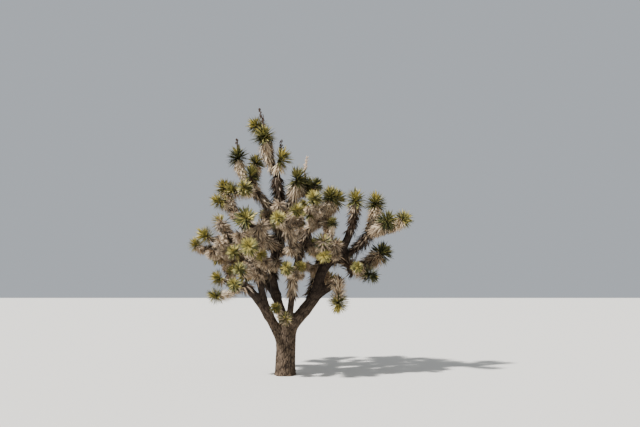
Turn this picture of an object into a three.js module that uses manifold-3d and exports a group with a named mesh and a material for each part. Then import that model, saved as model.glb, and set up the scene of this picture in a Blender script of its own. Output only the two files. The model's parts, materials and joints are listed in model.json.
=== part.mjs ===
// A joshua tree, in millimetres, +Z up. The origin is the middle of the flat cut under the trunk.
// +X is the tree's right and -Y its front. Every limb is one tapering tube that grows from another limb,
// and every mass of foliage is a forked stem with a rosette of dagger leaves at the end of each fork.

import * as THREE from "three";
import { mergeVertices } from "three/addons/utils/BufferGeometryUtils.js";
import Module from "manifold-3d";

const wasm = await Module();
wasm.setup();
const { Manifold, Mesh: SolidMesh } = wasm;

// Clear space between two pieces that touch, and the size of the slivers that cutting leaves behind.
const GAP = 0.36;
const SLIVER = 0.05;

// The trunk: its radius at the ground, at half its height and under the fork, the spread of its root flare,
// and the share of its height over which it leans into the line of its tip.
const TRUNK_RADIUS = { foot: 198, waist: 190, fork: 176 };
const FLARE = { spread: 16, height: 90, lobes: 5, lobeDepth: 0.05 };
const TRUNK_LEAN_AT = 0.55;

// A limb swells where it leaves its parent, by this share of its radius over this many radii of its length,
// and ends in a dome. A dome's height is in tip radii, and its shoulder is a share of the tip radius at a
// share of this height. The trunk's is taller, where the boughs leave it.
const COLLAR = { swell: 0.24, reach: 1.3 };
const DOME = { trunk: 1.3, bough: 0.6, shoulder: 0.72, shoulderAt: 0.7 };

// The faces round and along each kind of piece.
const SIDES = { trunk: 18, bough: 7, largeStem: 6, smallStem: 5, stalk: 5 };
const RINGS = { trunk: 8, bough: 4 };

// The middle of the crown, which every rosette turns away from, how strongly it also reaches for the light,
// and the share of its stem that bends into line with it.
const CROWN_HEART = new THREE.Vector3(120, 0, 2450);
const HEADING = { outward: 0.45, upward: 0.5, onward: 0.55 };
const HEADING_REACH = 0.42;

// Where a mass's first stem starts on its limb, the radius there, and the share of the first stem's length
// where the others fork from it.
const STEM_START = { at: 0.98, radius: 56 };
const FORK_SHARE = { least: 0.3, most: 0.55 };

// The surface of a stem under its rosette, in leaf lengths: how far each ring lies behind the rosette's
// heart, and its radius. The front rings carry green leaves, and the last ones a coat of dry leaves.
const HEAD_RINGS = [
  { back: -0.16, radius: 0 },
  { back: -0.12, radius: 0.09 },
  { back: 0, radius: 0.18 },
  { back: 0.18, radius: 0.24 },
  { back: 0.42, radius: 0.28 },
  { back: 0.8, radius: 0.33 },
  { back: 1.3, radius: 0.33 },
];
const FIRST_RING_AT = 0.16;

// Leaves stand at this angle to the stem, in degrees, from the youngest at the tip to the oldest, and the dry
// ones hang back. Their lengths are shares of the rosette's leaf length, and chance bends and shortens them.
const GREEN = { until: 0.5, youngest: 12, oldest: 112, shortest: 0.86, longest: 1 };
const DRY = { until: 1.25, angle: 146, length: 0.84 };
const CHANCE = { turn: 4, length: 0.1 };
const LARGE_ROSETTE = 176;

// What a leaf keeps clear of a limb or a neighbour, the least that its tip rises off its own stem for its
// length, and the places along it that are tested.
const LEAF_CLEARANCE = 12;
const LEAST_RISE = 0.38;
const LEAF_PROBES = [0.15, 0.4, 0.7, 1];

// An old flower stalk: its radius, which falls away from its shoulder to its point.
const STALK = { radius: 15, foot: 0.02, shoulder: 0.7, shoulderRadius: 9 };

// Each bough's parent and the share of the parent's length where it leaves it, its tip, how far its middle
// bows away from a straight line, and its radius at the start and at the tip.
const limbPlan = {
  trunk: { tip: [50, 0, 1010] },

  left_bough: {
    from: "trunk", at: 0.45, tip: [-790, -400, 1760], bow: [24, 10, 130], radius: [108, 72],
  },
  left_inner_bough: {
    from: "left_bough", at: 0.5, tip: [-550, -300, 2080], bow: [-25, -20, 60], radius: [72, 60],
  },
  left_high_bough: {
    from: "left_inner_bough", at: 0.97, tip: [-960, -50, 2500], bow: [0, 0, -40], radius: [60, 50],
  },

  centre_left_bough: {
    from: "trunk", at: 0.95, tip: [-270, 50, 2130], bow: [-70, -25, -10], radius: [92, 76],
  },
  left_front_bough: {
    from: "centre_left_bough", at: 0.96, tip: [-550, -650, 2270], bow: [-25, 0, 45], radius: [70, 58],
  },
  crown_bough: {
    from: "centre_left_bough", at: 0.97, tip: [-110, 150, 3190], bow: [25, 10, 0], radius: [82, 74],
  },
  front_upper_bough: {
    from: "crown_bough", at: 0.4, tip: [-580, -580, 2840], bow: [0, 0, -50], radius: [64, 52],
  },
  left_top_bough: {
    from: "crown_bough", at: 0.5, tip: [-990, 250, 3110], bow: [40, 10, -90], radius: [66, 54],
  },
  crown_left_bough: {
    from: "crown_bough", at: 0.96, tip: [-690, 0, 3700], bow: [-40, 0, 0], radius: [72, 54],
  },
  crown_top_bough: {
    from: "crown_bough", at: 0.97, tip: [-200, 50, 3960], bow: [0, 0, 0], radius: [86, 76],
  },
  crown_right_bough: {
    from: "crown_bough", at: 0.95, tip: [110, 130, 3520], bow: [40, 0, -60], radius: [64, 52],
  },

  centre_bough: {
    from: "trunk", at: 0.97, tip: [150, -400, 2000], bow: [30, 0, 0], radius: [66, 56],
  },
  centre_right_bough: {
    from: "centre_bough", at: 0.8, tip: [440, 50, 2860], bow: [0, 0, 55], radius: [68, 60],
  },
  front_top_bough: {
    from: "centre_right_bough", at: 0.45, tip: [30, -450, 2880], bow: [-15, 0, 60], radius: [56, 48],
  },

  right_bough: {
    from: "trunk", at: 0.88, tip: [680, 0, 1670], bow: [22, 0, -25], radius: [126, 112],
  },
  right_upper_bough: {
    from: "right_bough", at: 0.96, tip: [1030, 50, 2320], bow: [-110, 0, 55], radius: [108, 92],
  },
  right_lower_bough: {
    from: "right_bough", at: 0.93, tip: [1050, -150, 1880], bow: [10, 0, -50], radius: [84, 66],
  },
  right_curved_bough: {
    from: "right_upper_bough", at: 0.96, tip: [1310, 70, 2890], bow: [25, 0, -40], radius: [84, 72],
  },
  far_right_bough: {
    from: "right_upper_bough", at: 0.93, tip: [1690, 100, 2820], bow: [30, 0, -110], radius: [70, 62],
  },
  right_drooping_bough: {
    from: "right_upper_bough", at: 0.9, tip: [1290, -50, 2020], bow: [90, 0, 50], radius: [88, 72],
  },

  back_left_bough: {
    from: "centre_left_bough", at: 0.5, tip: [-720, 820, 2300], bow: [0, 40, -60], radius: [80, 60],
  },
  back_right_bough: {
    from: "right_bough", at: 0.5, tip: [650, 820, 2220], bow: [20, 60, -80], radius: [84, 62],
  },
  back_bough: {
    from: "crown_bough", at: 0.2, tip: [-140, 820, 2920], bow: [0, 60, -60], radius: [68, 54],
  },
};

// Each mass: the limb that its stem leaves, and its rosettes, the first at the end of the stem and the others
// on forks of it. A rosette has its heart, the length of its leaves, and an aim where it doesn't simply
// face outwards and up. A stalk is an old flower stalk that still stands on a rosette.
const massPlan = {
  top_mass: {
    on: "crown_top_bough",
    rosettes: [
      { at: [-455, -110, 4750], leaf: 205, aim: [-0.15, -0.25, 1], stalk: [-95, 40, 520] },
      { at: [-650, 170, 5010], leaf: 165, aim: [-0.8, 0, 0.6] },
    ],
  },
  top_right_mass: {
    on: "crown_top_bough",
    rosettes: [{ at: [-100, -60, 4300], leaf: 205, aim: [0.4, -0.1, 0.9], stalk: [0, 20, 330] }],
  },
  crown_spire_mass: {
    on: "crown_left_bough",
    rosettes: [{ at: [-990, 100, 4370], leaf: 185, aim: [-0.05, 0, 1], stalk: [-30, 0, 320] }],
  },
  crown_left_mass: {
    on: "crown_left_bough",
    rosettes: [
      { at: [-700, -130, 3950], leaf: 196, aim: [0.1, -0.1, 1] },
      { at: [-650, 330, 4280], leaf: 155 },
    ],
  },
  crown_front_mass: {
    on: "crown_left_bough",
    rosettes: [
      { at: [-790, -500, 3630], leaf: 132 },
      { at: [-1060, -250, 3620], leaf: 150 },
    ],
  },
  upper_left_mass: {
    on: "left_top_bough",
    rosettes: [{ at: [-1330, 500, 3780], leaf: 160 }],
  },
  outer_left_mass: {
    on: "left_top_bough",
    rosettes: [{ at: [-1380, 60, 3430], leaf: 155, aim: [-0.9, -0.2, 0.4] }],
  },
  left_high_mass: {
    on: "left_high_bough",
    rosettes: [{ at: [-1340, 250, 3040], leaf: 172, aim: [-0.5, 0, 1] }],
  },
  left_tip_mass: {
    on: "left_high_bough",
    rosettes: [
      { at: [-1580, -200, 2720], leaf: 175 },
      { at: [-1840, 150, 2580], leaf: 122, aim: [-0.4, 0, 1] },
    ],
  },
  left_middle_mass: {
    on: "left_high_bough",
    rosettes: [
      { at: [-1230, 60, 2430], leaf: 150 },
      { at: [-990, -420, 2390], leaf: 124 },
      { at: [-1430, 320, 2320], leaf: 145 },
    ],
  },
  left_inner_mass: {
    on: "left_inner_bough",
    rosettes: [{ at: [-800, -980, 2050], leaf: 118 }],
  },
  left_low_mass: {
    on: "left_bough",
    rosettes: [{ at: [-1325, -500, 1555], leaf: 138, aim: [-0.9, -0.3, 0.1] }],
  },
  left_outer_mass: {
    on: "left_bough",
    rosettes: [
      { at: [-1300, -260, 1890], leaf: 150 },
      { at: [-900, -900, 1780], leaf: 118 },
    ],
  },
  left_front_mass: {
    on: "left_front_bough",
    rosettes: [
      { at: [-590, -1250, 2460], leaf: 138, aim: [0, -1, 0.35] },
      { at: [-410, -900, 2340], leaf: 108 },
    ],
  },
  front_upper_mass: {
    on: "front_upper_bough",
    rosettes: [{ at: [-670, -1150, 2970], leaf: 186, aim: [0, -1, 0.4] }],
  },
  front_top_mass: {
    on: "front_top_bough",
    rosettes: [
      { at: [-100, -950, 3010], leaf: 114 },
      { at: [250, -800, 3170], leaf: 122 },
    ],
  },
  centre_front_mass: {
    on: "centre_bough",
    rosettes: [
      { at: [70, -1000, 2080], leaf: 110, aim: [0, -1, 0.6] },
      { at: [330, -600, 2110], leaf: 98 },
    ],
  },
  crown_right_mass: {
    on: "crown_right_bough",
    rosettes: [
      { at: [220, -40, 3900], leaf: 215, aim: [-0.1, -0.2, 1] },
      { at: [390, 200, 3790], leaf: 160, stalk: [30, 0, 550] },
      { at: [580, 560, 3830], leaf: 155 },
    ],
  },
  centre_right_mass: {
    on: "centre_right_bough",
    rosettes: [
      { at: [880, 0, 3550], leaf: 185, aim: [0, -0.2, 1] },
      { at: [560, -300, 3460], leaf: 136, aim: [-0.2, -0.7, 0.8] },
      { at: [1020, 300, 3520], leaf: 185 },
    ],
  },
  right_inner_mass: {
    on: "right_upper_bough",
    rosettes: [
      { at: [740, -600, 2580], leaf: 150 },
      { at: [930, -330, 2970], leaf: 105, aim: [0, 0, 1] },
    ],
  },
  right_hanging_mass: {
    on: "right_lower_bough",
    rosettes: [{ at: [1030, -300, 1360], leaf: 165, aim: [-0.05, -0.2, -1] }],
  },
  right_curved_mass: {
    on: "right_curved_bough",
    rosettes: [{ at: [1385, -120, 3465], leaf: 182, aim: [0, -0.1, 1] }],
  },
  far_right_mass: {
    on: "far_right_bough",
    rosettes: [{ at: [1835, 380, 3460], leaf: 195, aim: [0.05, 0, 1] }],
  },
  right_outer_mass: {
    on: "far_right_bough",
    rosettes: [
      { at: [2000, -380, 3005], leaf: 172 },
      { at: [2420, 350, 3100], leaf: 160 },
    ],
  },
  right_tip_mass: {
    on: "right_drooping_bough",
    rosettes: [{ at: [1975, 460, 2410], leaf: 196 }],
  },
  right_droop_mass: {
    on: "right_drooping_bough",
    rosettes: [
      { at: [1700, -100, 1930], leaf: 165, aim: [0.9, -0.2, -0.4] },
      { at: [1400, -500, 2100], leaf: 94 },
    ],
  },
  crotch_mass: {
    on: "trunk",
    rosettes: [
      { at: [-170, -500, 1330], leaf: 92 },
      { at: [30, -450, 1110], leaf: 112, aim: [0.1, -1, 0] },
    ],
  },
  back_left_mass: {
    on: "back_left_bough",
    rosettes: [
      { at: [-1100, 1350, 2690], leaf: 180 },
      { at: [-640, 1480, 2640], leaf: 160 },
      { at: [-1380, 850, 2500], leaf: 160 },
    ],
  },
  back_left_low_mass: {
    on: "back_left_bough",
    rosettes: [{ at: [-960, 1250, 1960], leaf: 165 }],
  },
  back_right_mass: {
    on: "back_right_bough",
    rosettes: [
      { at: [1050, 1350, 2560], leaf: 180 },
      { at: [520, 1500, 2600], leaf: 170 },
      { at: [1250, 850, 2350], leaf: 150 },
    ],
  },
  back_right_low_mass: {
    on: "back_right_bough",
    rosettes: [{ at: [900, 1260, 1820], leaf: 172, aim: [0.5, 0.8, 0.1] }],
  },
  back_mass: {
    on: "back_bough",
    rosettes: [
      { at: [40, 1400, 3200], leaf: 175 },
      { at: [-500, 1200, 3250], leaf: 178, aim: [-0.8, 0.2, 0.7] },
      { at: [310, 920, 3420], leaf: 160 },
    ],
  },
};

const BARK = new THREE.MeshStandardMaterial({ color: "#5d5044", roughness: 0.95, metalness: 0 });
const FOLIAGE = new THREE.MeshStandardMaterial({ color: "#7f8748", roughness: 0.6, metalness: 0 });

// A small repeatable random number generator: each call gives the next number from 0 to 1.
function seededRandom(seed) {
  let state = seed >>> 0;
  return () => {
    state = (Math.imul(state, 1664525) + 1013904223) >>> 0;
    return state / 4294967296;
  };
}

const { clamp, degToRad, lerp } = THREE.MathUtils;
const vector = (numbers) => new THREE.Vector3(...numbers);

// A curve from start to end whose middle lies bow away from the straight line.
function bowedCurve(start, end, bow) {
  const control = start.clone().add(end).multiplyScalar(0.5).addScaledVector(bow, 2);
  return new THREE.QuadraticBezierCurve3(start, control, end);
}

// A closed triangle mesh as a manifold solid.
function solidOf(corners, faces) {
  return new Manifold(
    new SolidMesh({
      numProp: 3,
      vertProperties: new Float32Array(corners.flatMap((corner) => corner.toArray())),
      triVerts: new Uint32Array(faces.flat()),
    }),
  );
}

// A turned shape with its seam closed. Each ring may be turned further than the one before: half a side makes
// the faces between two rings point up and down by turns.
function closedLathe(profile, sides, ringTurn = 0) {
  const geometry = new THREE.LatheGeometry(profile, sides);
  const place = geometry.attributes.position;
  const axis = new THREE.Vector3(0, 1, 0);
  for (let i = 0; i < place.count; i++) {
    const corner = new THREE.Vector3().fromBufferAttribute(place, i);
    corner.applyAxisAngle(axis, (i % profile.length) * ringTurn);
    place.setXYZ(i, corner.x, corner.y, corner.z);
  }
  geometry.deleteAttribute("normal");
  geometry.deleteAttribute("uv");
  const closed = mergeVertices(geometry);
  const corners = Array.from({ length: closed.attributes.position.count }, (_, i) =>
    new THREE.Vector3().fromBufferAttribute(closed.attributes.position, i),
  );
  const faces = [];
  for (let i = 0; i < closed.index.count; i += 3) {
    const [a, b, c] = closed.index.array.slice(i, i + 3);
    if (a !== b && b !== c && c !== a) faces.push([a, b, c]);
  }
  return { corners, faces };
}

// A rule that carries a point of a turned shape onto a curve: the point's height is the distance along the
// curve as a share of it, and a share over 1 runs straight on past the curve's end.
function bendOnto(curve, widen = () => 1) {
  const steps = 24;
  const frames = curve.computeFrenetFrames(steps, false);
  const length = curve.getLength();
  return ({ x, y, z }) => {
    const share = clamp(y, 0, 1);
    const step = Math.round(share * steps);
    const wide = widen(share * length, Math.atan2(x, z));
    return curve
      .getPointAt(share)
      .addScaledVector(frames.binormals[step], x * wide)
      .addScaledVector(frames.normals[step], z * wide)
      .addScaledVector(frames.tangents[step], (y - share) * length);
  };
}

function bentSolid({ corners, faces }, curve, widen) {
  return solidOf(corners.map(bendOnto(curve, widen)), faces);
}

// The profile of a tapering limb with a domed tip, from radii and distances along it. Where it is grown, it
// also starts behind the limb's start and ends past its tip.
function taperProfile({ radiusAt, length, rings, dome }, grow) {
  const tip = radiusAt(1);
  const ends = 2 * grow;
  const profile = [new THREE.Vector2(0, -ends)];
  for (let i = 0; i <= rings; i++) {
    profile.push(new THREE.Vector2(radiusAt(i / rings) + grow, (length * i) / rings));
  }
  profile[1].y = -ends;
  profile.push(new THREE.Vector2(DOME.shoulder * tip + grow, length + DOME.shoulderAt * dome * tip));
  profile.push(new THREE.Vector2(0, length + dome * tip + ends));
  return profile.map((point) => new THREE.Vector2(point.x, point.y / length));
}

// The trunk is nearly straight-sided to its waist, and narrows a little to the fork.
function trunkRadius(share) {
  const { foot, waist, fork } = TRUNK_RADIUS;
  return share < 0.5 ? lerp(foot, waist, 2 * share) : lerp(waist, fork, 2 * share - 1);
}

// A bough tapers evenly from its collar to its tip.
function boughRadius([thick, thin], length) {
  return (share) => {
    const collar = COLLAR.swell * Math.exp(-(((share * length) / (COLLAR.reach * thick)) ** 2));
    return lerp(thick, thin, share) * (1 + collar);
  };
}

// The root flare widens the trunk towards the ground, in blunt lobes.
function rootFlare(height, angle) {
  const near = Math.exp(-height / FLARE.height);
  const lobe = 1 + FLARE.lobeDepth * Math.cos(FLARE.lobes * angle) * near;
  return (1 + (FLARE.spread / TRUNK_RADIUS.foot) * near) * lobe;
}

// The limbs' centrelines and radii, from the trunk outwards.
const limbs = {};
for (const [name, plan] of Object.entries(limbPlan)) {
  if (plan.from) {
    const curve = bowedCurve(limbs[plan.from].curve.getPointAt(plan.at), vector(plan.tip), vector(plan.bow));
    const length = curve.getLength();
    const radiusAt = boughRadius(plan.radius, length);
    limbs[name] = { curve, length, radiusAt, rings: RINGS.bough, sides: SIDES.bough, dome: DOME.bough };
  } else {
    const tip = vector(plan.tip);
    const upright = new THREE.Vector3(0, 0, TRUNK_LEAN_AT * tip.z);
    const curve = new THREE.QuadraticBezierCurve3(new THREE.Vector3(), upright, tip);
    const build = { rings: RINGS.trunk, sides: SIDES.trunk, dome: DOME.trunk, widen: rootFlare };
    limbs[name] = { curve, length: curve.getLength(), radiusAt: trunkRadius, ...build };
  }
}

function limbSolid(name, grow = 0) {
  const limb = limbs[name];
  return bentSolid(closedLathe(taperProfile(limb, grow), limb.sides), limb.curve, limb.widen);
}

// Where a rosette faces: along its aim, or else outwards, upwards and on along its stem.
function headingOf(rosette, onward) {
  if (rosette.aim) return vector(rosette.aim).normalize();
  return vector(rosette.at)
    .sub(CROWN_HEART)
    .normalize()
    .multiplyScalar(HEADING.outward)
    .addScaledVector(onward.clone().normalize(), HEADING.onward)
    .add(new THREE.Vector3(0, 0, HEADING.upward))
    .normalize();
}

// The rings of a stem from its start to its tip, as places along it and radii. The head's rings that would
// lie at the start or behind it are left out.
function stemRings(leaf, length) {
  const head = HEAD_RINGS.map(({ back, radius }) => ({
    share: 1 - (back * leaf) / length,
    radius: radius * leaf,
  }));
  const kept = head.filter(({ share }) => share > FIRST_RING_AT);
  return [{ share: 0, radius: STEM_START.radius }, ...kept.reverse()];
}

function stemRadius(rings, share) {
  const next = rings.findIndex((ring) => ring.share > share);
  const [before, after] = [rings[next - 1], rings[next]];
  return lerp(before.radius, after.radius, (share - before.share) / (after.share - before.share));
}

// A curve cut into straight pieces, each with the radius of what runs along it.
function axisPieces(curve, radiusAt) {
  const count = 8;
  const points = curve.getSpacedPoints(count);
  return points.slice(1).map((end, i) => ({
    line: new THREE.Line3(points[i], end),
    radius: radiusAt((i + 0.5) / count),
  }));
}

// The stems of a mass: the first runs from the limb's tip to the first rosette, and each of the others
// leaves it at a seeded share of its length. A stem ends along its rosette's heading.
const masses = {};
Object.entries(massPlan).forEach(([name, plan], index) => {
  const random = seededRandom(7919 * (index + 1));
  const stems = [];
  for (const rosette of plan.rosettes) {
    const forkShare = lerp(FORK_SHARE.least, FORK_SHARE.most, random());
    const [carrier, share] = stems.length ? [stems[0], forkShare] : [limbs[plan.on], STEM_START.at];
    const start = carrier.curve.getPointAt(share);
    const heart = vector(rosette.at);
    const onward = heart.clone().sub(start);
    const heading = headingOf(rosette, onward);
    const control = heart.clone().addScaledVector(heading, -HEADING_REACH * onward.length());
    const curve = new THREE.QuadraticBezierCurve3(start, control, heart);
    const length = curve.getLength();
    const rings = stemRings(rosette.leaf, length);
    const pieces = axisPieces(curve, (place) => stemRadius(rings, place));
    stems.push({ curve, length, rings, pieces, heart, leaf: rosette.leaf, stalk: rosette.stalk });
  }
  masses[name] = { on: plan.on, stems, random, pieces: stems.flatMap((stem) => stem.pieces) };
});
const limbPieces = Object.values(limbs).flatMap((limb) => axisPieces(limb.curve, limb.radiusAt));

// A stem's bare surface, not yet bent onto its curve.
function stemLathe(stem, grow = 0) {
  const sides = stem.leaf > LARGE_ROSETTE ? SIDES.largeStem : SIDES.smallStem;
  const ends = (2 * grow) / stem.length;
  const profile = stem.rings.map(({ share, radius }) => new THREE.Vector2(radius && radius + grow, share));
  profile[0].y -= ends;
  profile[profile.length - 1].y += ends;
  return closedLathe([new THREE.Vector2(0, -ends), ...profile], sides, Math.PI / sides);
}

// How far a point is from the nearest of these pieces' surfaces.
function clearanceFrom(pieces, point) {
  const nearest = new THREE.Vector3();
  let least = Infinity;
  for (const { line, radius } of pieces) {
    line.closestPointToPoint(point, true, nearest);
    least = Math.min(least, nearest.distanceTo(point) - radius);
  }
  return least;
}

// A leaf is kept if it touches no limb and no other stem of its mass, stays nearer to its own stem than to
// any other mass's, and its tip rises well off its own stem.
function leafFits(mass, stem, root, tip, width) {
  const others = Object.values(masses).filter((other) => other !== mass);
  const siblings = mass.stems.filter((other) => other !== stem).flatMap((other) => other.pieces);
  if (clearanceFrom(stem.pieces, tip) < LEAST_RISE * root.distanceTo(tip)) return false;
  return LEAF_PROBES.every((share) => {
    const point = root.clone().lerp(tip, share);
    const need = LEAF_CLEARANCE + 0.5 * width * (1 - share);
    const own = Math.max(clearanceFrom(stem.pieces, point), 0);
    return (
      clearanceFrom(limbPieces, point) > need &&
      clearanceFrom(siblings, point) > need &&
      others.every((other) => clearanceFrom(other.pieces, point) - own > 2 * need)
    );
  });
}

// The angle and length of the leaf that grows so far behind the heart, in leaf lengths, or none.
function leafRule(back) {
  if (back > DRY.until) return null;
  if (back > GREEN.until) return DRY;
  const front = HEAD_RINGS[0].back;
  const age = (back - front) / (GREEN.until - front);
  return {
    angle: lerp(GREEN.youngest, GREEN.oldest, age),
    length: lerp(GREEN.shortest, GREEN.longest, Math.min(2 * age, 1)),
  };
}

// The tip of the leaf that stands on one face of a stem, or nothing where no leaf grows or fits.
function leafTip(mass, stem, bend, [a, b, c]) {
  const middle = a.clone().add(b).add(c).divideScalar(3);
  const rule = leafRule(((1 - middle.y) * stem.length) / stem.leaf);
  const chance = Array.from({ length: 3 }, () => 2 * mass.random() - 1);
  if (!rule) return null;
  const root = bend(middle);
  const outward = bend({ x: 2 * middle.x, y: middle.y, z: 2 * middle.z }).sub(root).normalize();
  const onward = stem.curve.getTangentAt(clamp(middle.y, 0, 1));
  outward.applyAxisAngle(onward, degToRad(CHANCE.turn * chance[0]));
  const angle = degToRad(rule.angle + CHANCE.turn * chance[1]);
  const length = stem.leaf * rule.length * (1 + CHANCE.length * chance[2]);
  const tip = root
    .clone()
    .addScaledVector(onward, Math.cos(angle) * length)
    .addScaledVector(outward, Math.sin(angle) * length);
  return leafFits(mass, stem, root, tip, bend(a).distanceTo(bend(b))) ? tip : null;
}

// A stem with its rosette: one closed surface whose faces are drawn out into pointed, three-sided leaves.
function leafyStem(mass, stem) {
  const { corners, faces } = stemLathe(stem);
  const bend = bendOnto(stem.curve);
  const bent = corners.map(bend);
  const leafy = faces.flatMap(([a, b, c]) => {
    const tip = leafTip(mass, stem, bend, [corners[a], corners[b], corners[c]]);
    if (!tip) return [[a, b, c]];
    const top = bent.push(tip) - 1;
    return [[a, b, top], [b, c, top], [c, a, top]];
  });
  return solidOf(bent, leafy);
}

function stalkSolid(stem) {
  const curve = new THREE.LineCurve3(stem.heart, stem.heart.clone().add(vector(stem.stalk)));
  const profile = [
    new THREE.Vector2(0, 0),
    new THREE.Vector2(STALK.radius, STALK.foot),
    new THREE.Vector2(STALK.shoulderRadius, STALK.shoulder),
    new THREE.Vector2(0, 1),
  ];
  return bentSolid(closedLathe(profile, SIDES.stalk), curve);
}

// The largest body of a solid: what a cut leaves loose inside a neighbour is dropped, and so are slivers.
function largestBody(solid) {
  const bodies = solid.decompose();
  const largest = bodies.reduce((best, body) => (body.volume() > best.volume() ? body : best));
  return largest.asOriginal().simplify(SLIVER);
}

// A node's mesh, placed at the start of its limb or stem.
function meshOf(name, solid, material, start) {
  const made = solid.getMesh();
  const geometry = new THREE.BufferGeometry();
  geometry.setAttribute("position", new THREE.BufferAttribute(made.vertProperties, made.numProp));
  geometry.setIndex(new THREE.BufferAttribute(made.triVerts, 1));
  geometry.translate(-start.x, -start.y, -start.z);
  geometry.computeVertexNormals();
  const mesh = new THREE.Mesh(geometry, material);
  mesh.name = name;
  mesh.position.copy(start);
  return mesh;
}

// Whatever leaves a limb is cut clear of that limb, of the limb's own parent and of what left it before.
const grownOn = Object.fromEntries(Object.keys(limbs).map((name) => [name, []]));
function cutClear(solid, parent) {
  const carriers = [parent, limbPlan[parent].from].filter((name) => name);
  const cutters = [...carriers.map((name) => limbSolid(name, GAP)), ...grownOn[parent]];
  return largestBody(solid.subtract(Manifold.union(cutters)));
}

const tree = new THREE.Group();

for (const [name, { from }] of Object.entries(limbPlan)) {
  const solid = from ? cutClear(limbSolid(name), from) : limbSolid(name);
  tree.add(meshOf(name, solid, BARK, limbs[name].curve.getPointAt(0)));
  if (from) grownOn[from].push(limbSolid(name, GAP));
}

for (const [name, mass] of Object.entries(masses)) {
  const stems = mass.stems.map((stem) => leafyStem(mass, stem));
  const stalks = mass.stems.filter((stem) => stem.stalk).map(stalkSolid);
  const solid = cutClear(Manifold.union([...stems, ...stalks]), mass.on);
  tree.add(meshOf(name, solid, FOLIAGE, mass.stems[0].curve.getPointAt(0)));
  grownOn[mass.on].push(...mass.stems.map((stem) => bentSolid(stemLathe(stem, GAP), stem.curve)));
}

export default tree;
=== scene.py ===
"""A joshua tree in its full dress: bark with its own relief on the trunk and boughs, and on every stem a
rosette of dagger leaves over a sleeve of dead ones. The file is laid out as an add-on and run as a script,
in metres."""

import json
import math
from dataclasses import dataclass

import bpy
import numpy as np
from bpy.props import FloatProperty, FloatVectorProperty, IntProperty, PointerProperty
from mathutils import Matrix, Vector

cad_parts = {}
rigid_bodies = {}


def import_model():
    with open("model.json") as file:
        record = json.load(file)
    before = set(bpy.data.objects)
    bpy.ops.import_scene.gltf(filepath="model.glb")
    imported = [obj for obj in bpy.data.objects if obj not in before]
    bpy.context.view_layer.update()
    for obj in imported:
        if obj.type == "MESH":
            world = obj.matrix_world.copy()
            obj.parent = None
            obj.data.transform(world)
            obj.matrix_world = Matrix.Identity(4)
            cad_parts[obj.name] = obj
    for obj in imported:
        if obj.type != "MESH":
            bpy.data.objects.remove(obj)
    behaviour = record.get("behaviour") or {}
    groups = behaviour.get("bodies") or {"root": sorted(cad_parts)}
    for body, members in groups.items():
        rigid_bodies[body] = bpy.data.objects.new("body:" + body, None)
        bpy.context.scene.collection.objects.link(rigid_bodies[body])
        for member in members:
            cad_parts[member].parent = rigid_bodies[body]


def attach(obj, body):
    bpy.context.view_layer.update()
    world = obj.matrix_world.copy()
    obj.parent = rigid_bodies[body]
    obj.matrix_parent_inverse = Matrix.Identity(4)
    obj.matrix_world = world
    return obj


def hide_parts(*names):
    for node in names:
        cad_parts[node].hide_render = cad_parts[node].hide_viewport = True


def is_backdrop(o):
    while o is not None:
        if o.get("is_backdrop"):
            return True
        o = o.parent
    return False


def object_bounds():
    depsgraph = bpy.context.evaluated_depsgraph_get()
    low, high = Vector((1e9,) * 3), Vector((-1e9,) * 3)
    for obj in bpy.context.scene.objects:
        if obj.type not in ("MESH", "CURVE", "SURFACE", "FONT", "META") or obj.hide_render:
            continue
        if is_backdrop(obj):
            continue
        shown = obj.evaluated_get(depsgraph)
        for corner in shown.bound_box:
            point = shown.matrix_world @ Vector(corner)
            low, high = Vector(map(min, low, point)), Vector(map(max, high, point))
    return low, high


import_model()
CAD_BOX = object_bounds()

bl_info = {
    "name": "Joshua tree",
    "version": (1, 0, 0),
    "blender": (4, 5, 0),
    "location": "3D View > Sidebar > Joshua tree",
    "description": "Builds a joshua tree's bark, leaves and old flower stalks round its packed solids",
    "category": "Add Mesh",
}

MM = 0.001
DOWN = np.array([0.0, 0.0, -1.0])
GOLDEN_ANGLE = math.pi * (3 - math.sqrt(5))

# The trunk, in millimetres: its tip, its radius at the ground, at half its height and under the fork, and
# the root flare, which spreads it near the ground in blunt lobes. It rises straight towards this share of
# its height before it leans over to its tip.
TRUNK_TIP = (50, 0, 1010)
TRUNK_RADIUS = (198, 190, 176)
FLARE_SPREAD, FLARE_HEIGHT, FLARE_LOBES, LOBE_DEPTH = 16, 90, 5, 0.05
TRUNK_LEAN_AT = 0.55

# A bough swells where it leaves its parent, by this share of its radius over this many radii of its length.
# The trunk and the boughs end in domes of these heights, in tip radii.
COLLAR_SWELL, COLLAR_REACH = 0.24, 1.3
TRUNK_DOME, BOUGH_DOME = 1.3, 0.6

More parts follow.
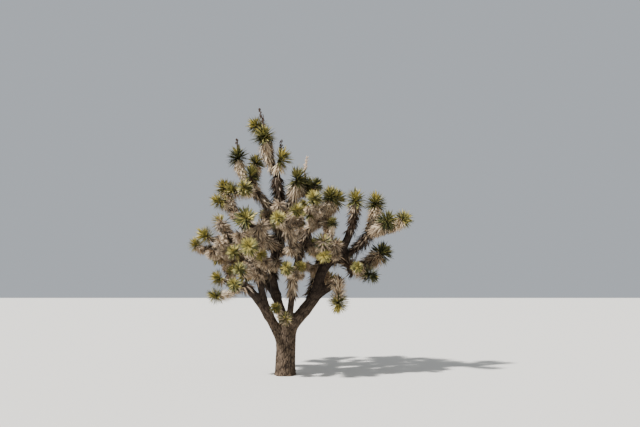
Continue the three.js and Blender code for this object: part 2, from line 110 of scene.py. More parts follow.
# Each bough, in millimetres: its parent and the share of the parent's length where it leaves it, its tip,
# how far its middle bows away from a straight line, and its radius at the start and at the tip. Where it
# has a coat of dead leaves, the last numbers are a Limb's clad, age and shag.
BOUGHS = {
    "left": ("trunk", 0.45, (-790, -400, 1760), (24, 10, 130), (108, 72), 0.95, 1.3),
    "left_inner": ("left", 0.5, (-550, -300, 2080), (-25, -20, 60), (72, 60), 0.8),
    "left_high": ("left_inner", 0.97, (-960, -50, 2500), (0, 0, -40), (60, 50), 0.1),
    "centre_left": ("trunk", 0.95, (-270, 50, 2130), (-70, -25, -10), (92, 76), 0.85, 1.3),
    "left_front": ("centre_left", 0.96, (-550, -650, 2270), (-25, 0, 45), (70, 58), 0.35),
    "crown": ("centre_left", 0.97, (-110, 150, 3190), (25, 10, 0), (82, 74), 0.4, 1.25),
    "front_upper": ("crown", 0.4, (-580, -580, 2840), (0, 0, -50), (64, 52), 0.15),
    "left_top": ("crown", 0.5, (-990, 250, 3110), (40, 10, -90), (66, 54), 0.15),
    "crown_left": ("crown", 0.96, (-690, 0, 3700), (-40, 0, 0), (72, 54), 0.1),
    "crown_top": ("crown", 0.97, (-200, 50, 3960), (0, 0, 0), (86, 76), 0.05, 1.7, 12),
    "crown_right": ("crown", 0.95, (110, 130, 3520), (40, 0, -60), (64, 52), 0.15),
    "centre": ("trunk", 0.97, (150, -400, 2000), (30, 0, 0), (66, 56), 0.6),
    "centre_right": ("centre", 0.8, (440, 50, 2860), (0, 0, 55), (68, 60), 0.55, 1.2),
    "front_top": ("centre_right", 0.45, (30, -450, 2880), (-15, 0, 60), (56, 48), 0.15),
    "right": ("trunk", 0.88, (680, 0, 1670), (22, 0, -25), (126, 112)),
    "right_upper": ("right", 0.96, (1030, 50, 2320), (-110, 0, 55), (108, 92), 0.85),
    "right_lower": ("right", 0.93, (1050, -150, 1880), (10, 0, -50), (84, 66), 0.75),
    # The dark coats of right_curved and far_right are partly old dead leaves and partly painted shade under
    # the skirts above them.
    "right_curved": ("right_upper", 0.96, (1310, 70, 2890), (25, 0, -40), (84, 72), 0.92, 1.5),
    "far_right": ("right_upper", 0.93, (1690, 100, 2820), (30, 0, -110), (70, 62), 0.45, 1.5, 10),
    "right_drooping": ("right_upper", 0.9, (1290, -50, 2020), (90, 0, 50), (88, 72), 0.6, 1.4),
    "back_left": ("centre_left", 0.5, (-720, 820, 2300), (0, 40, -60), (80, 60), 0.4),
    "back_right": ("right", 0.5, (650, 820, 2220), (20, 60, -80), (84, 62), 0.4),
    "back": ("crown", 0.2, (-140, 820, 2920), (0, 60, -60), (68, 54), 0.3),
}

# The middle of the crown, which every rosette turns away from, how strongly it also reaches for the light
# and runs on along its stem, and the share of its stem that bends into line with it.
CROWN_HEART = (120, 0, 2450)
HEADING_OUTWARD, HEADING_UPWARD, HEADING_ONWARD = 0.45, 0.5, 0.55
HEADING_REACH = 0.42

# Where a mass's first stem starts on its limb, the radius of a stem's foot, which narrows over this share
# of its length, and between which shares of the first stem's length the others fork from it.
STEM_START = 0.98
FOOT_RADIUS, FOOT_REACH = 56, 0.4
FORK_SHARE = (0.3, 0.55)
MASS_SEED = 7919

# Each mass, in millimetres: the limb that its stem leaves, and its rosettes, the first at the end of the
# stem and the others on forks of it. A rosette has its heart, the length of its leaves, and its own habit:
# an aim where it doesn't simply face outwards and up, and else the fields of its Stem.
# A tone above naught in a habit is painted shade on the rosettes that stand in the crown's shade,
# crown_right, right_tip and right_droop; below naught it makes the leaves paler.
MASSES = {
    "top": (
        "crown_top",
        ((-455, -110, 4750), 205, {"aim": (-0.15, -0.25, 1), "stalk": (-95, 40, 520), "ageing": 0.12}),
        ((-650, 170, 5010), 165, {"aim": (-0.8, 0, 0.6)}),
    ),
    "top_right": (
        "crown_top",
        ((-100, -60, 4300), 205, {"aim": (0.4, -0.1, 0.9), "stalk": (0, 20, 330), "ageing": 0.15}),
    ),
    "crown_spire": (
        "crown_left",
        ((-990, 100, 4370), 185, {"aim": (-0.05, 0, 1), "stalk": (-30, 0, 320), "shag": -10}),
    ),
    "crown_left": (
        "crown_left",
        ((-700, -130, 3950), 196, {"aim": (0.1, -0.1, 1)}),
        ((-650, 330, 4280), 155),
    ),
    "crown_front": ("crown_left", ((-790, -500, 3630), 132), ((-1060, -250, 3620), 150)),
    "upper_left": ("left_top", ((-1330, 500, 3780), 160)),
    "outer_left": ("left_top", ((-1380, 60, 3430), 155, {"aim": (-0.9, -0.2, 0.4)})),
    "left_high": ("left_high", ((-1340, 250, 3040), 172, {"aim": (-0.5, 0, 1), "tone": 0.05})),
    "left_tip": (
        "left_high",
        ((-1580, -200, 2720), 175, {"tone": -0.15}),
        ((-1840, 150, 2580), 122, {"aim": (-0.4, 0, 1), "tone": -0.1}),
    ),
    "left_middle": (
        "left_high",
        ((-1230, 60, 2430), 150),
        ((-990, -420, 2390), 124),
        ((-1430, 320, 2320), 145),
    ),
    "left_inner": ("left_inner", ((-800, -980, 2050), 118)),
    "left_low": ("left", ((-1325, -500, 1555), 138, {"aim": (-0.9, -0.3, 0.1)})),
    "left_outer": ("left", ((-1300, -260, 1890), 150), ((-900, -900, 1780), 118)),
    "left_front": (
        "left_front",
        ((-590, -1250, 2460), 138, {"aim": (0, -1, 0.35)}),
        ((-410, -900, 2340), 108),
    ),
    "front_upper": ("front_upper", ((-670, -1150, 2970), 186, {"aim": (0, -1, 0.4)})),
    "front_top": ("front_top", ((-100, -950, 3010), 114), ((250, -800, 3170), 122)),
    "centre_front": ("centre", ((70, -1000, 2080), 110, {"aim": (0, -1, 0.6)}), ((330, -600, 2110), 98)),
    "crown_right": (
        "crown_right",
        ((220, -40, 3900), 215, {"aim": (-0.1, -0.2, 1), "tone": 0.2}),
        ((390, 200, 3790), 160, {"stalk": (30, 0, 550), "tone": 0.2}),
        ((580, 560, 3830), 155, {"tone": 0.3}),
    ),
    "centre_right": (
        "centre_right",
        ((880, 0, 3550), 185, {"aim": (0, -0.2, 1), "shag": 12, "ageing": 0.05}),
        ((560, -300, 3460), 136, {"aim": (-0.2, -0.7, 0.8), "shag": 14, "ageing": 0.05}),
        ((1020, 300, 3520), 185, {"shag": 12, "ageing": 0.05}),
    ),
    "right_inner": (
        "right_upper",
        ((740, -600, 2580), 150, {"tone": 0.3, "faded": 0.65, "shag": 10, "ageing": 0.45}),
        ((930, -330, 2970), 105, {"aim": (0, 0, 1)}),
    ),
    "right_hanging": ("right_lower", ((1030, -300, 1360), 165, {"aim": (-0.05, -0.2, -1)})),
    # Its high ageing is painted shade: the sleeve darkens fast down the stem as if in the shadow of the
    # rosette.
    "right_curved": ("right_curved", ((1385, -120, 3465), 182, {"aim": (0, -0.1, 1), "ageing": 0.8})),
    "far_right": ("far_right", ((1835, 380, 3460), 195, {"aim": (0.05, 0, 1), "ageing": 0.2})),
    "right_outer": ("far_right", ((2000, -380, 3005), 172, {"ageing": 0.15}), ((2420, 350, 3100), 160)),
    "right_tip": ("right_drooping", ((1975, 460, 2410), 196, {"tone": 0.4})),
    "right_droop": (
        "right_drooping",
        ((1700, -100, 1930), 165, {"aim": (0.9, -0.2, -0.4), "tone": 0.35}),
        ((1400, -500, 2100), 94),
    ),
    "crotch": (
        "trunk",
        ((-170, -500, 1330), 92),
        ((30, -450, 1110), 112, {"aim": (0.1, -1, 0), "faded": 0.45}),
    ),
    "back_left": (
        "back_left",
        ((-1100, 1350, 2690), 180),
        ((-640, 1480, 2640), 160),
        ((-1380, 850, 2500), 160),
    ),
    "back_left_low": ("back_left", ((-960, 1250, 1960), 165)),
    "back_right": (
        "back_right",
        ((1050, 1350, 2560), 180),
        ((520, 1500, 2600), 170),
        ((1250, 850, 2350), 150),
    ),
    "back_right_low": ("back_right", ((900, 1260, 1820), 172, {"aim": (0.5, 0.8, 0.1)})),
    "back": (
        "back",
        ((40, 1400, 3200), 175),
        ((-500, 1200, 3250), 178, {"aim": (-0.8, 0.2, 0.7)}),
        ((310, 920, 3420), 160),
    ),
}

# The surface that the leaves of a rosette stand on, in leaf lengths: how far behind the heart, and its
# radius.
HEAD_BACK = (-0.16, -0.12, 0, 0.18, 0.42, 0.8, 1.3)
HEAD_RADIUS = (0, 0.09, 0.18, 0.24, 0.28, 0.33, 0.33)

# Green leaves grow until this far behind the heart, in leaf lengths, at an angle to the stem that opens
# from the youngest to the oldest, in degrees. Their lengths, as shares of the rosette's leaf length, are
# those of the youngest and of all from middle age on.
GREEN_UNTIL = 0.5
GREEN_ANGLE = (12, 124)
GREEN_LENGTH = (0.98, 1.1)

# Dead leaves turn back from the oldest green ones over this stretch of the stem, in leaf lengths behind the
# heart, to these angles, and are shortest towards the stem's foot. A whole sleeve is fuller or closer by up
# to so many degrees, and its leaves stand on this share of the stem's surface radius. The coat of a bough
# has an angle of its own.
DEAD_BACK = (0.42, 0.8, 1.4, 2.6)
DEAD_ANGLE = (124, 132, 139, 146)
DEAD_LENGTH = (1.05, 1.12, 1.08, 0.95)
DEAD_FULLNESS = 10
SLEEVE_SHARE = 0.85
COAT_ANGLE = 148

# A leaf's shade is its place in a row of tints, each of which goes up to the shade beside its name. The
# leaves of a rosette start from the first shade, and the oldest and the dead ones are darker by the second
# number.
GREEN_TINTS = (("bright", 0.28), ("fresh", 0.55), ("grown", 0.85), ("deep", math.inf))
DEAD_TINTS = (("straw", 0.35), ("tan", 0.75), ("grey", 1.2), ("brown", math.inf))
FIRST_SHADE, DARKENING = 0.3, 0.45

# How far chance shifts the shade of a whole rosette and of its green leaves, of a whole sleeve and of
# single dead leaves, and of the leaves of a coat.
ROSETTE_CHANCE, GREEN_CHANCE = 0.15, 0.25
SLEEVE_CHANCE, DEAD_CHANCE, COAT_CHANCE = 0.2, 0.35, 0.45

# A blade's sections as shares of its length and of its width. Its keel is this share of its half width. How
# far its tip bows towards its face, as a share of its length: the mean, and how far chance changes it.
GREEN_SECTIONS = ((0, 0.7), (0.62, 0.95))
DEAD_SECTIONS = ((0, 0.8), (0.55, 0.9))
SPINE_SECTIONS = ((0, 1),)
KEEL = 0.45
GREEN_BOW, DEAD_BOW = (-0.03, 0.03), (0, 0.06)

# Between which shares of their length chance makes the dead leaves of the sleeves and of the coats.
DEAD_UNEVEN, COAT_UNEVEN = (0.8, 1.08), (0.7, 1.15)

# How much of its surface's radius the wood under the leaves fills, and how deep their roots are sunk in it.
CORE_SHARE = 0.72
ROOT_SHARE = 0.55

# The places along a leaf that have to be clear of the limbs and of its neighbours, and by how much.
LEAF_PROBES = (0.35, 0.7, 1)
LEAF_CLEARANCE = 5


def lerp(low, high, share):
    """low + (high - low) share."""
    return low + (high - low) * share


def unit(vectors):
    """Each vector divided by its length."""
    return vectors / np.linalg.norm(vectors, axis=-1, keepdims=True)


def millimetres(numbers):
    """Numbers in millimetres as an array in metres."""
    return MM * np.array(numbers, float)


def smooth(share):
    """3 s^2 - 2 s^3, with s kept between 0 and 1."""
    share = np.clip(share, 0, 1)
    return share * share * (3 - 2 * share)


def seeded_numbers(seed):
    """Repeatable numbers from 0 to 1: state = 1664525 state + 1013904223, modulo 2^32, divided by 2^32."""
    state = seed
    while True:
        state = (1664525 * state + 1013904223) % 2**32
        yield state / 2**32


class Path:
    """A curve walked by its length: (1 - t)^2 start + 2 t (1 - t) control + t^2 end, where t is looked up
    from the distance along it. It lies in one plane, whose normal is its side everywhere."""

    steps = 200
    straight = 0.001

    def __init__(self, start, control, end):
        self.corners = start, control, end
        self.times = np.linspace(0, 1, self.steps + 1)
        strides = np.linalg.norm(np.diff(self.bezier(self.times), axis=0), axis=1)
        self.walked = np.concatenate([[0], np.cumsum(strides)])
        self.length = self.walked[-1]
        plane = np.cross(control - start, end - control)
        if np.linalg.norm(plane) < self.straight * self.length:
            plane = np.cross(end - start, (0, 1, 0))
        self.side = unit(plane)

    def bezier(self, time):
        start, control, end = self.corners
        time = np.asarray(time, float)[..., None]
        return (1 - time) ** 2 * start + 2 * time * (1 - time) * control + time**2 * end

    def point(self, share):
        return self.bezier(np.interp(share * self.length, self.walked, self.times))

    def frames(self, along):
        """The centre, the tangent and the direction across it at these distances. Past its end the path runs
        straight on."""
        start, control, end = self.corners
        time = np.interp(along, self.walked, self.times)
        turned = time[..., None]
        tangent = unit((1 - turned) * (control - start) + turned * (end - control))
        beyond = np.clip(along - self.length, 0, None)[..., None]
        return self.bezier(time) + beyond * tangent, tangent, np.cross(tangent, self.side)


def bowed_path(start, end, bow):
    """The path from start to end whose middle lies bow away from the straight line."""
    return Path(start, (start + end) / 2 + 2 * bow, end)


class Axis:
    """A path cut into straight pieces, each with the radius of what runs along it."""

    pieces = 12

    def __init__(self, path, radius_at):
        ends = path.point(np.linspace(0, 1, self.pieces + 1))
        middles = (np.arange(self.pieces) + 0.5) / self.pieces
        self.start = ends[:-1]
        self.stride = ends[1:] - ends[:-1]
        self.radius = radius_at(middles * path.length)


def clearance(points, axes):
    """How far each point is from the nearest surface: the least of |p - q| - r, with q the nearest place on
    a piece of an axis and r the radius there."""
    start = np.concatenate([axis.start for axis in axes])
    stride = np.concatenate([axis.stride for axis in axes])
    radius = np.concatenate([axis.radius for axis in axes])
    long = (stride**2).sum(-1)
    flat = points.reshape(-1, 3)
    batch = 4096
    least = np.empty(len(flat))
    for first in range(0, len(flat), batch):
        away = flat[first:first + batch, None] - start
        share = np.clip((away * stride).sum(-1) / long, 0, 1)
        away -= share[..., None] * stride
        least[first:first + batch] = (np.sqrt((away**2).sum(-1)) - radius).min(1)
    return least.reshape(points.shape[:-1])


@dataclass
class Limb:
    """A trunk or bough: its centreline and its radius at a distance along it. Old dead leaves cover it from
    the clad share of its length on. Their age is their place in the row of tints, and shag opens them by so
    many degrees."""

    name: str
    parent: str
    path: Path
    radius_at: object
    clad: float = 1
    age: float = 0.95
    shag: float = 0

    def __post_init__(self):
        self.axis = Axis(self.path, self.radius_at)


@dataclass
class Stem:
    """A stem of a mass that ends in the heart of a rosette with leaves of this length. Its stalk is an old
    flower stalk that still stands there. Tone shifts the tints of the leaves, darker above naught and paler
    below; on the rosettes in the crown's shade it is painted shade. Faded is the share of the leaves that
    have died, shag opens the sleeve of dead leaves by so many degrees, and ageing darkens the sleeve for
    each leaf length down the stem."""

    mass: str
    path: Path
    leaf: float
    stalk: tuple = None
    tone: float = 0
    faded: float = 0
    shag: float = 0
    ageing: float = 0.3

    def __post_init__(self):
        self.heart = self.path.corners[2]
        self.axis = Axis(self.path, self.surface_radius)

    def surface_radius(self, along):
        """The radius of the surface that the leaves stand on, from the foot of the stem to its heart."""
        back = (self.path.length - along) / self.leaf
        head = self.leaf * np.interp(back, HEAD_BACK, HEAD_RADIUS)
        foot = smooth(1 - along / (FOOT_REACH * self.path.length))
        return lerp(head, np.maximum(head, FOOT_RADIUS * MM), foot)


def trunk_radius(length):
    """Nearly straight-sided to the waist, and a little narrower at the fork."""
    return lambda along: MM * np.interp(along / length, (0, 0.5, 1), TRUNK_RADIUS)


def bough_radius(ends, length):
    """thick + (thin - thick) s, times 1 + swell exp(-(along / (reach thick))^2) at the collar."""
    thick, thin = millimetres(ends)

    def radius_at(along):
        collar = COLLAR_SWELL * np.exp(-((along / (COLLAR_REACH * thick)) ** 2))
        return lerp(thick, thin, np.clip(along / length, 0, 1)) * (1 + collar)

    return radius_at


def root_flare(height, angle):
    """(1 + spread / foot e) (1 + depth cos(lobes angle) e), where e = exp(-height / flare height)."""
    near = np.exp(-height / (FLARE_HEIGHT * MM))
    spread = 1 + FLARE_SPREAD / TRUNK_RADIUS[0] * near
    return spread * (1 + LOBE_DEPTH * np.cos(FLARE_LOBES * angle) * near)


def grown_limbs():
    """The limbs by name, from the trunk outwards."""
    tip = millimetres(TRUNK_TIP)
    path = Path(np.zeros(3), np.array([0, 0, TRUNK_LEAN_AT * tip[2]]), tip)
    limbs = {"trunk": Limb("trunk", None, path, trunk_radius(path.length))}
    for name, (parent, at, tip, bow, radius, *coat) in BOUGHS.items():
        parent = limbs[parent]
        path = bowed_path(parent.path.point(at), millimetres(tip), millimetres(bow))
        limbs[name] = Limb(name + "_bough", parent.name, path, bough_radius(radius, path.length), *coat)
    return limbs


def turned(start, heart, heading):
    """The path from start to heart that arrives along this heading."""
    return Path(start, heart - HEADING_REACH * np.linalg.norm(heart - start) * heading, heart)


# Finer twigs fork from each stem, one for so many millimetres of its length and between these shares of it.
# A twig leans away from the stem by this angle, in degrees, and its length and the length of its leaves are
# shares of the stem's leaf length. This share of the twigs has died.
TWIG_FOR_EACH = 290
TWIG_AT = (0.15, 0.72)
TWIG_LEAN = (38, 70)
TWIG_LENGTH = (1.5, 2.1)
TWIG_LEAF = (0.66, 0.86)
TWIG_FADED = 0.85

# Dead spurs grow in the same way from the part of a limb that still has its coat, one for so many
# millimetres, as if from a stem with leaves of this length.
SPUR_FOR_EACH, SPUR_LEAF = 360, 165

# A twig or spur is tried so often until its rosette stands clear of the limbs and of other rosettes, by
# these distances in leaf lengths, and within the inner crown, an ellipsoid with this centre and these
# radii.
TWIG_TRIES = 12
CLEAR_OF_LIMBS, CLEAR_OF_HEARTS = 0.85, 0.8
INNER_CENTRE, INNER_RADII = (-100, 0, 2550), (1450, 1150, 850)


def grown_stems(limbs):
    """The stems of every mass: the first runs from the limb's tip to the first rosette, and each of the
    others leaves it at a seeded share of its length. A stem ends along its rosette's aim, or else outwards
    from the crown's heart, on along the stem, and upwards."""
    stems = []
    for index, (mass, (limb, *rosettes)) in enumerate(MASSES.items()):
        numbers = seeded_numbers(MASS_SEED * (index + 1))
        first = None
        for at, leaf, *habit in rosettes:
            habit = dict(*habit)
            share = lerp(*FORK_SHARE, next(numbers))
            start = first.path.point(share) if first else limbs[limb].path.point(STEM_START)
            heart = millimetres(at)
            outward, onward = unit(heart - millimetres(CROWN_HEART)), unit(heart - start)
            free = HEADING_OUTWARD * outward + HEADING_ONWARD * onward - HEADING_UPWARD * DOWN
            heading = unit(np.array(habit.pop("aim", free), float))
            stem = Stem(mass, turned(start, heart, heading), leaf * MM, **habit)
            first = first or stem
            stems.append(stem)
    return stems


def grown_twig(path, reach, leaf, faded, grown, limb_axes, chance):
    """A twig that leaves this path between these shares of its length, leans out from it and turns up, or
    none where its rosette finds no room within the inner crown."""
    for _ in range(TWIG_TRIES):
        along = chance.uniform(*reach, 1) * path.length
        start, tangent, across = (row[0] for row in path.frames(along))
        lean, turn = np.radians(chance.uniform(*TWIG_LEAN)), chance.uniform(0, 2 * math.pi)
        outward = math.cos(turn) * path.side + math.sin(turn) * across
        onward = math.cos(lean) * tangent + math.sin(lean) * outward
        onward *= leaf * chance.uniform(*TWIG_LENGTH)
        heart = start + onward
        own_leaf = leaf * chance.uniform(*TWIG_LEAF)
        away = np.linalg.norm(np.array([other.heart for other in grown]) - heart, axis=-1)
        room = np.array([other.leaf for other in grown]) + own_leaf
        inside = np.linalg.norm((heart - millimetres(INNER_CENTRE)) / millimetres(INNER_RADII)) < 1
        clear = clearance(heart, limb_axes) > CLEAR_OF_LIMBS * own_leaf
        if inside and clear and (away > CLEAR_OF_HEARTS * room).all():
            path = turned(start, heart, unit(unit(onward) - HEADING_UPWARD * DOWN))
            return [Stem(grown[away.argmin()].mass, path, own_leaf, faded=faded)]
    return []


def grown_twigs(stems, limbs):
    """The stems, with the twigs and spurs that carry small rosettes within the crown."""
    chance = np.random.default_rng(MASS_SEED)
    grown = list(stems)
    axes = [limb.axis for limb in limbs.values()]
    for stem in stems:
        for _ in range(round(stem.path.length / (TWIG_FOR_EACH * MM))):
            faded = float(chance.random() < TWIG_FADED)
            grown += grown_twig(stem.path, TWIG_AT, stem.leaf, faded, grown, axes, chance)
    for limb in limbs.values():
        for _ in range(round((1 - limb.clad) * limb.path.length / (SPUR_FOR_EACH * MM))):
            grown += grown_twig(limb.path, (limb.clad, 1), SPUR_LEAF * MM, 1, grown, axes, chance)
    return grown


LIMB = grown_limbs()
LIMB_AXES = [limb.axis for limb in LIMB.values()]
STEMS = grown_twigs(grown_stems(LIMB), LIMB)


def colour_of(code):
    """A hex colour such as "#a0b0c0" as linear red, green and blue, and an alpha of 1."""
    levels = np.array([int(code[i:i + 2], 16) for i in (1, 3, 5)]) / 255
    linear = np.where(levels <= 0.04045, levels / 12.92, ((levels + 0.055) / 1.055) ** 2.4)
    return (*linear.tolist(), 1.0)


def size(name, default, description):
    """A length in metres, from its default in millimetres."""
    return FloatProperty(
        name=name, description=description, default=default * MM, min=0, unit="LENGTH", precision=4
    )


def fraction(name, default, description):
    """A plain number from 0 to 1."""
    return FloatProperty(name=name, description=description, default=default, min=0, max=1, subtype="FACTOR")


def count(name, default, description):
    """A whole number."""
    return IntProperty(name=name, description=description, default=default, min=0)


def colour(name, code, description):
    """A colour, from its hex code."""
    return FloatVectorProperty(
        name=name, description=description, default=colour_of(code), size=4, min=0, max=1, subtype="COLOR"
    )


class WoodSettings(bpy.types.PropertyGroup):
    """The bark of the trunk, the boughs and the stems."""

    plate_width: size("Plate width", 40, "Width of a plate of bark between two cracks")
    plate_height: size("Plate height", 130, "Height of a plate of bark between two cracks")
    crack_depth: size("Crack depth", 12, "Depth of the trunk's cracks; thinner limbs have shallower ones")
    web_reach: size("Web reach", 60, "How far from a fork two limbs start to flow into each other")
    grid: size("Grid", 7, "Distance between two points of the bark's surface")
    ridge: colour("Trunk ridges", "#6c5c4c", "Weathered cork on the ridges of the trunk")
    stain: colour("Trunk stains", "#463a2e", "Darker patches on the trunk's ridges")
    # Painted shade: the floor of the cracks is coloured nearly black by its depth.
    crevice: colour("Crevices", "#1d1612", "The floor of the cracks")
    # Painted shade in part: the boughs' darker browns stand partly for their browner cork and partly for the
    # crown's shade.
    bough_ridge: colour("Bough ridges", "#463b32", "Younger cork on the boughs")
    bough_stain: colour("Bough stains", "#2e2620", "Darker patches on the boughs")


class LeafSettings(bpy.types.PropertyGroup):
    """The living leaves of the rosettes."""

    per_rosette: count("Leaves in a rosette", 190, "Green leaves that a rosette is grown with")
    width: size("Leaf width", 24, "Width of a full-grown leaf")
    wander: fraction("Wander", 0.2, "How far chance turns a leaf, in radians")
    uneven: fraction("Unevenness", 0.24, "How far chance changes a leaf's length")
    spine_width: size("Spine width", 4.2, "Width of the hard brown spine at a leaf's tip")
    bright: colour("Youngest", "#b2a356", "Young leaves at the heart of a rosette")
    fresh: colour("Fresh", "#867f47", "Fresh leaves round the heart")
    grown: colour("Grown", "#57572e", "Full-grown leaves")
    deep: colour("Old", "#31341d", "The oldest green leaves")
    spine: colour("Spines", "#6b4a2b", "The spines of the leaves")


class DeadLeafSettings(bpy.types.PropertyGroup):
    """The dead leaves that hang back along the stems and boughs."""

    per_metre: count("Leaves per metre", 760, "Dead leaves on a metre of stem")
    coat_per_metre: count("Leaves per metre of bough", 800, "Old dead leaves on a metre of a clad bough")
    width: size("Leaf width", 21, "Width of a dead leaf near its base")
    droop: fraction("Droop", 0.3, "How strongly a dead leaf hangs down")
    limp: fraction("Limpness", 0.95, "How strongly the leaves of a dead rosette hang down")
    wander: fraction("Wander", 0.16, "How far chance turns a dead leaf, in radians")
    coat_length: size("Coat leaf length", 205, "Length of the old leaves on the boughs")
    straw: colour("Straw", "#d9c5a6", "Leaves that died last")
    tan: colour("Tan", "#ad967a", "Weathered dead leaves")
    grey: colour("Grey", "#7c6e5d", "Old dead leaves, bleached grey")
    brown: colour("Brown", "#3d2f23", "The oldest dead leaves, dark with age")


class StalkSettings(bpy.types.PropertyGroup):
    """The dried flower stalks of past years."""

    radius: size("Stalk radius", 20, "Radius of a stalk at its foot")
    branchlet: size("Branchlet length", 85, "Length of the longest side branchlet")
    pod_length: size("Pod length", 36, "Length of a dried seed pod")
    fresh: colour("Last year's stalk", "#cbb39c", "A stalk that dried last, still pale")
    weathered: colour("Old stalks", "#4a3b31", "Stalks that have weathered for years")


class StageSettings(bpy.types.PropertyGroup):
    """The floor, the light and the camera."""

    floor_size: size("Floor size", 80000, "Side of the square floor")
    floor: colour("Floor", "#d8d4cc", "A plain pale floor")
    sky: colour("Surround", "#dfe6ee", "The even light from all around")
    eye_height: size("Eye height", 1950, "Height of the camera over the ground")
    distance: size("Distance", 12400, "How far in front of the trunk the camera stands")
    sideways: size("Sideways", 680, "How far to the right of the trunk the camera stands")
    pitch: FloatProperty(
        name="Pitch", description="How far the camera looks up", default=math.radians(5.6), subtype="ANGLE"
    )


def joined(parts):
    """Several meshes, each as points and triangles, as one."""
    points, triangles, before = [], [], 0
    for part_points, part_triangles in parts:
        points.append(part_points)
        triangles.append(part_triangles + before)
        before += len(part_points)
    return np.concatenate(points), np.concatenate(triangles)


def piece(name, shape, material, slot, replaced=(), smooth_faces=False, **attributes):
    """An object of this shape, given as points and triangles. It rides on the tree and stands for nodes."""
    points, triangles = shape
    mesh = bpy.data.meshes.new(name)
    mesh.vertices.add(len(points))
    mesh.vertices.foreach_set("co", points.astype(np.float32).ravel())
    mesh.loops.add(triangles.size)
    mesh.loops.foreach_set("vertex_index", triangles.astype(np.int32).ravel())
    mesh.polygons.add(len(triangles))
    mesh.polygons.foreach_set("loop_start", np.arange(0, triangles.size, 3, dtype=np.int32))
    mesh.polygons.foreach_set("use_smooth", np.full(len(triangles), smooth_faces))
    mesh.update(calc_edges=True)
    for key, values in attributes.items():
        stored = mesh.attributes.new(key, "FLOAT", "POINT")
        stored.data.foreach_set("value", values.astype(np.float32).ravel())
    mesh.materials.append(material)
    made = bpy.data.objects.new(name, mesh)
    bpy.context.scene.collection.objects.link(made)
    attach(made, "root")
    if replaced:
        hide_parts(*replaced)
    return made


def closed_tube(rings):
    """Points and outward triangles of rings shaped (rows, sides, 3), with a pole that closes each end."""
    rows, sides, _ = rings.shape
    here = np.arange(rows * sides).reshape(rows, sides)
    beside = np.roll(here, -1, axis=1)
    foot, top = np.full(sides, rows * sides), np.full(sides, rows * sides + 1)
    triangles = [
        np.stack([here[:-1], beside[:-1], beside[1:]], -1).reshape(-1, 3),
        np.stack([here[:-1], beside[1:], here[1:]], -1).reshape(-1, 3),
        np.stack([foot, beside[0], here[0]], -1),
        np.stack([top, here[-1], beside[-1]], -1),
    ]
    poles = [rings[0].mean(0), rings[-1].mean(0)]
    return np.concatenate([rings.reshape(-1, 3), poles]), np.concatenate(triangles)


def tube_rings(path, along, radius, sides):
    """centre(along) + radius (cos a side + sin a across), for as many angles a as it has sides. There is a
    radius for each place along, or for each place and angle."""
    angle = np.arange(sides) / sides * 2 * math.pi
    centre, _, across = path.frames(along)
    outward = np.cos(angle)[:, None] * path.side + np.sin(angle)[:, None] * across[:, None]
    wide = radius if radius.ndim == 2 else radius[:, None]
    return centre[:, None] + wide[..., None] * outward


def bark_cracks(around, along, cells, seed):
    """How deep in a crack each place of the bark lies, from 0 to 1. Every cell has one chance point, F1 and
    F2 are the distances to the two nearest, and the crack falls away as F2 - F1 grows. All are in cells."""
    rows = int(np.ceil(along.max())) + 2
    chance = np.random.default_rng(seed).random((rows, cells, 2))
    column, row = np.floor(around).astype(int), np.floor(along).astype(int)
    nearest = np.full(np.broadcast(around, along).shape, np.inf)
    second = nearest.copy()
    for right in (-1, 0, 1):
        for up in (-1, 0, 1):
            offset = chance[(row + up) % rows, (column + right) % cells]
            sideways = column + right + offset[..., 0] - around
            upwards = row + up + offset[..., 1] - along
            distance = np.hypot(sideways, upwards)
            second = np.minimum(second, np.maximum(nearest, distance))
            nearest = np.minimum(nearest, distance)
    crack_width = 0.26
    return 1 - smooth((second - nearest) / crack_width)


# Fine cracks run through the plates of bark, this many times as close around a limb and along it, and shift
# the plates' edges by this share of a plate. The plates' cracks are so deep, and so much deeper at a fine
# crack, and fine cracks are so deep on the plates, as shares of the greatest depth.
FINE_AROUND, FINE_ALONG, EDGE_SHIFT = 2, 2.6, 0.15
PLATE_DEPTH, DEEPENED, FINE_DEPTH = 0.85, 0.15, 0.38


def fork_web(surface, limb, reach):
    """How far a limb's surface swells out where it meets its parent, its siblings and its own boughs:
    h^2 reach / 4, with h = 1 - |d| / reach and d the distance to the other limb's surface."""
    swell = np.zeros(surface.shape[:-1])
    for other in LIMB.values():
        kin = other.name == limb.parent or other.parent in (limb.name, limb.parent)
        if kin and other is not limb:
            near = np.clip(1 - np.abs(clearance(surface, [other.axis])) / reach, 0, 1)
            swell = np.maximum(swell, near**2 * reach / 4)
    return swell


